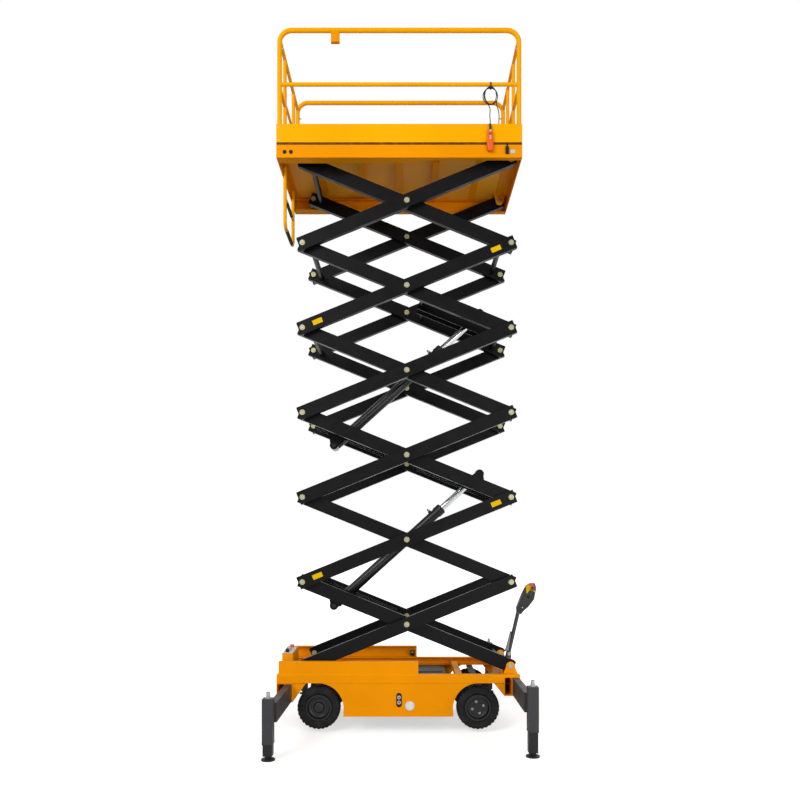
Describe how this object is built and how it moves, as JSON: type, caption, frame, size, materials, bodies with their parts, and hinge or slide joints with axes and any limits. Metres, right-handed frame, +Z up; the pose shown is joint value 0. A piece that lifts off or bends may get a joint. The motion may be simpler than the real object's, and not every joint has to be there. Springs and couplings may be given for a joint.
{
  "type": "towable scissor lift",
  "caption": "Towable scissor lift: crossed black arms between a wheeled base with pull-out outriggers and a railed work platform.",
  "frame": {"origin": "on the floor below the middle of the overall length and width, platform part-raised", "axes": "+X towards the tow handle, +Y away from the side with the hand control, +Z up"},
  "size_m": [2.4684, 2.784, 6.3336],
  "materials": {
    "platform_paint": "satin amber paint",
    "base_paint": "satin orange paint",
    "arm_paint": "satin black paint",
    "zinc": "yellow zinc plate",
    "outrigger_paint": "satin dark grey paint",
    "jack_paint": "satin black paint",
    "axle_paint": "satin black paint",
    "tyre": "matte rubber",
    "rim_paint": "satin black paint",
    "cylinder_paint": "gloss black paint",
    "rod_chrome": "polished",
    "power_cover": "matte",
    "console_paint": "satin orange paint",
    "handle_paint": "satin black paint",
    "pendant_shell": "moulded orange-red",
    "lead_sheath": "matte black"
  },
  "bodies": {
    "chassis": {"base_frame": "base_paint", "side_skirts": "base_paint", "power_unit": "power_cover", "control_console": "console_paint", "base_pins": "zinc", "rear_axle": "axle_paint", "front_axle": "axle_paint"},
    "inner_1": {"inner_arms_1": "arm_paint"},
    "outer_1": {"outer_arms_1": "arm_paint", "pivot_pins_1": "zinc"},
    "inner_2": {"inner_arms_2": "arm_paint"},
    "outer_2": {"outer_arms_2": "arm_paint", "pivot_pins_2": "zinc"},
    "inner_3": {"inner_arms_3": "arm_paint"},
    "outer_3": {"outer_arms_3": "arm_paint", "pivot_pins_3": "zinc"},
    "inner_4": {"inner_arms_4": "arm_paint"},
    "outer_4": {"outer_arms_4": "arm_paint", "pivot_pins_4": "zinc"},
    "inner_5": {"inner_arms_5": "arm_paint"},
    "outer_5": {"outer_arms_5": "arm_paint", "pivot_pins_5": "zinc"},
    "inner_6": {"inner_arms_6": "arm_paint", "deck_rollers": "zinc"},
    "outer_6": {"outer_arms_6": "arm_paint", "pivot_pins_6": "zinc"},
    "platform": {"platform_frame": "platform_paint", "deck_plate": "platform_paint", "deck_pins": "zinc", "toe_boards": "platform_paint", "guard_rails": "platform_paint", "ladder": "platform_paint", "pendant": "pendant_shell", "pendant_lead": "lead_sheath", "pendant_lead_coil": "lead_sheath"},
    "barrel_1": {"cylinder_barrel_1": "cylinder_paint"},
    "rod_1": {"cylinder_rod_1": "rod_chrome"},
    "barrel_2": {"cylinder_barrel_2": "cylinder_paint"},
    "rod_2": {"cylinder_rod_2": "rod_chrome"},
    "gate": {"gate": "platform_paint"},
    "tow_yoke": {"tow_yoke": "handle_paint"},
    "tow_handle": {"tow_handle": "handle_paint"},
    "knuckle_near": {"knuckle_near": "axle_paint"},
    "wheel_rear_near": {"tyre_rear_near": "tyre", "rim_rear_near": "rim_paint"},
    "wheel_front_near": {"tyre_front_near": "tyre", "rim_front_near": "rim_paint"},
    "knuckle_far": {"knuckle_far": "axle_paint"},
    "wheel_rear_far": {"tyre_rear_far": "tyre", "rim_rear_far": "rim_paint"},
    "wheel_front_far": {"tyre_front_far": "tyre", "rim_front_far": "rim_paint"},
    "outrigger_rear_near": {"outrigger_rear_near": "outrigger_paint", "jack_rear_near": "jack_paint"},
    "outrigger_rear_far": {"outrigger_rear_far": "outrigger_paint", "jack_rear_far": "jack_paint"},
    "outrigger_front_near": {"outrigger_front_near": "outrigger_paint", "jack_front_near": "jack_paint"},
    "outrigger_front_far": {"outrigger_front_far": "outrigger_paint", "jack_front_far": "jack_paint"}
  },
  "joints": [
    {"name": "lift", "type": "hinge", "parent": "chassis", "child": "inner_1", "pos_m": [0.93475, 0, 0.59], "axis": [0, 1, 0], "range_deg": [-17.6, 34.9]},
    {"name": "cross_1", "type": "hinge", "parent": "inner_1", "child": "outer_1", "pos_m": [-0.01494, 0, 0.97563], "axis": [0, 1, 0], "range_deg": [-69.81, 35.21]},
    {"name": "stack_1", "type": "hinge", "parent": "outer_1", "child": "inner_2", "pos_m": [0.93475, 0, 1.36126], "axis": [0, 1, 0], "range_deg": [-35.21, 69.81]},
    {"name": "cross_2", "type": "hinge", "parent": "inner_2", "child": "outer_2", "pos_m": [-0.01494, 0, 1.74689], "axis": [0, 1, 0], "range_deg": [-69.81, 35.21]},
    {"name": "stack_2", "type": "hinge", "parent": "outer_2", "child": "inner_3", "pos_m": [0.93475, 0, 2.13252], "axis": [0, 1, 0], "range_deg": [-35.21, 69.81]},
    {"name": "cross_3", "type": "hinge", "parent": "inner_3", "child": "outer_3", "pos_m": [-0.01494, 0, 2.51815], "axis": [0, 1, 0], "range_deg": [-69.81, 35.21]},
    {"name": "stack_3", "type": "hinge", "parent": "outer_3", "child": "inner_4", "pos_m": [0.93475, 0, 2.90378], "axis": [0, 1, 0], "range_deg": [-35.21, 69.81]},
    {"name": "cross_4", "type": "hinge", "parent": "inner_4", "child": "outer_4", "pos_m": [-0.01494, 0, 3.28941], "axis": [0, 1, 0], "range_deg": [-69.81, 35.21]},
    {"name": "stack_4", "type": "hinge", "parent": "outer_4", "child": "inner_5", "pos_m": [0.93475, 0, 3.67504], "axis": [0, 1, 0], "range_deg": [-35.21, 69.81]},
    {"name": "cross_5", "type": "hinge", "parent": "inner_5", "child": "outer_5", "pos_m": [-0.01494, 0, 4.06067], "axis": [0, 1, 0], "range_deg": [-69.81, 35.21]},
    {"name": "stack_5", "type": "hinge", "parent": "outer_5", "child": "inner_6", "pos_m": [0.93475, 0, 4.4463], "axis": [0, 1, 0], "range_deg": [-35.21, 69.81]},
    {"name": "cross_6", "type": "hinge", "parent": "inner_6", "child": "outer_6", "pos_m": [-0.01494, 0, 4.83193], "axis": [0, 1, 0], "range_deg": [-69.81, 35.21]},
    {"name": "deck_level", "type": "hinge", "parent": "outer_6", "child": "platform", "pos_m": [0.93475, 0, 5.21756], "axis": [0, 1, 0], "range_deg": [-17.61, 34.91]},
    {"name": "barrel_1_turn", "type": "hinge", "parent": "inner_1", "child": "barrel_1", "pos_m": [-0.71505, 0, 1.11205], "axis": [0, 1, 0], "range_deg": [-68.06, 34.33]},
    {"name": "rod_1_slide", "type": "slide", "parent": "barrel_1", "child": "rod_1", "axis": [0.7408, 0, 0.6717], "range_m": [-0.38407, 0.7615]},
    {"name": "barrel_2_turn", "type": "hinge", "parent": "inner_3", "child": "barrel_2", "pos_m": [-0.71505, 0, 2.65457], "axis": [0, 1, 0], "range_deg": [-68.06, 34.33]},
    {"name": "rod_2_slide", "type": "slide", "parent": "barrel_2", "child": "rod_2", "axis": [0.7408, 0, 0.6717], "range_m": [-0.38407, 0.7615]},
    {"name": "gate_hinge", "type": "hinge", "parent": "platform", "child": "gate", "pos_m": [-1.15525, 0.2317, 5.31956], "axis": [0, 0, 1], "range_deg": [0, 90]},
    {"name": "tow_turn", "type": "hinge", "parent": "chassis", "child": "tow_yoke", "pos_m": [0.95875, 0, 0.56], "axis": [0, 0, 1], "range_deg": [-30, 30]},
    {"name": "tow_tilt", "type": "hinge", "parent": "tow_yoke", "child": "tow_handle", "pos_m": [0.97275, 0, 0.645], "axis": [0, 1, 0], "range_deg": [0, 70], "stiffness_Nm_per_rad": 20, "springref_deg": -57.3},
    {"name": "steer_near", "type": "hinge", "parent": "chassis", "child": "knuckle_near", "pos_m": [0.62875, -0.365, 0.226], "axis": [0, 0, 1], "range_deg": [-30.01, 30.01]},
    {"name": "wheel_rear_near_spin", "type": "hinge", "parent": "chassis", "child": "wheel_rear_near", "pos_m": [-0.81125, -0.453, 0.226], "axis": [0, 1, 0], "continuous": true},
    {"name": "wheel_front_near_spin", "type": "hinge", "parent": "knuckle_near", "child": "wheel_front_near", "pos_m": [0.62875, -0.453, 0.226], "axis": [0, 1, 0], "continuous": true},
    {"name": "steer_far", "type": "hinge", "parent": "chassis", "child": "knuckle_far", "pos_m": [0.62875, 0.365, 0.226], "axis": [0, 0, 1], "range_deg": [-30.01, 30.01]},
    {"name": "wheel_rear_far_spin", "type": "hinge", "parent": "chassis", "child": "wheel_rear_far", "pos_m": [-0.81125, 0.453, 0.226], "axis": [0, 1, 0], "continuous": true},
    {"name": "wheel_front_far_spin", "type": "hinge", "parent": "knuckle_far", "child": "wheel_front_far", "pos_m": [0.62875, 0.453, 0.226], "axis": [0, 1, 0], "continuous": true},
    {"name": "outrigger_rear_near_slide", "type": "slide", "parent": "chassis", "child": "outrigger_rear_near", "axis": [0, -1, 0], "range_m": [-0.72, 0]},
    {"name": "outrigger_rear_far_slide", "type": "slide", "parent": "chassis", "child": "outrigger_rear_far", "axis": [0, 1, 0], "range_m": [-0.63, 0]},
    {"name": "outrigger_front_near_slide", "type": "slide", "parent": "chassis", "child": "outrigger_front_near", "axis": [0, -1, 0], "range_m": [-0.63, 0]},
    {"name": "outrigger_front_far_slide", "type": "slide", "parent": "chassis", "child": "outrigger_front_far", "axis": [0, 1, 0], "range_m": [-0.72, 0]}
  ],
  "couplings": [
    {"joint": "cross_1", "follows": "lift", "ratio": -2},
    {"joint": "stack_1", "follows": "lift", "ratio": 2},
    {"joint": "cross_2", "follows": "lift", "ratio": -2},
    {"joint": "stack_2", "follows": "lift", "ratio": 2},
    {"joint": "cross_3", "follows": "lift", "ratio": -2},
    {"joint": "stack_3", "follows": "lift", "ratio": 2},
    {"joint": "cross_4", "follows": "lift", "ratio": -2},
    {"joint": "stack_4", "follows": "lift", "ratio": 2},
    {"joint": "cross_5", "follows": "lift", "ratio": -2},
    {"joint": "stack_5", "follows": "lift", "ratio": 2},
    {"joint": "cross_6", "follows": "lift", "ratio": -2},
    {"joint": "deck_level", "follows": "lift", "ratio": 1},
    {"joint": "barrel_1_turn", "follows": "lift", "ratio": -1.95},
    {"joint": "rod_1_slide", "follows": "lift", "m_per_rad": 1.25},
    {"joint": "barrel_2_turn", "follows": "lift", "ratio": -1.95},
    {"joint": "rod_2_slide", "follows": "lift", "m_per_rad": 1.25},
    {"joint": "steer_near", "follows": "tow_turn", "ratio": 1},
    {"joint": "steer_far", "follows": "tow_turn", "ratio": 1}
  ]
}
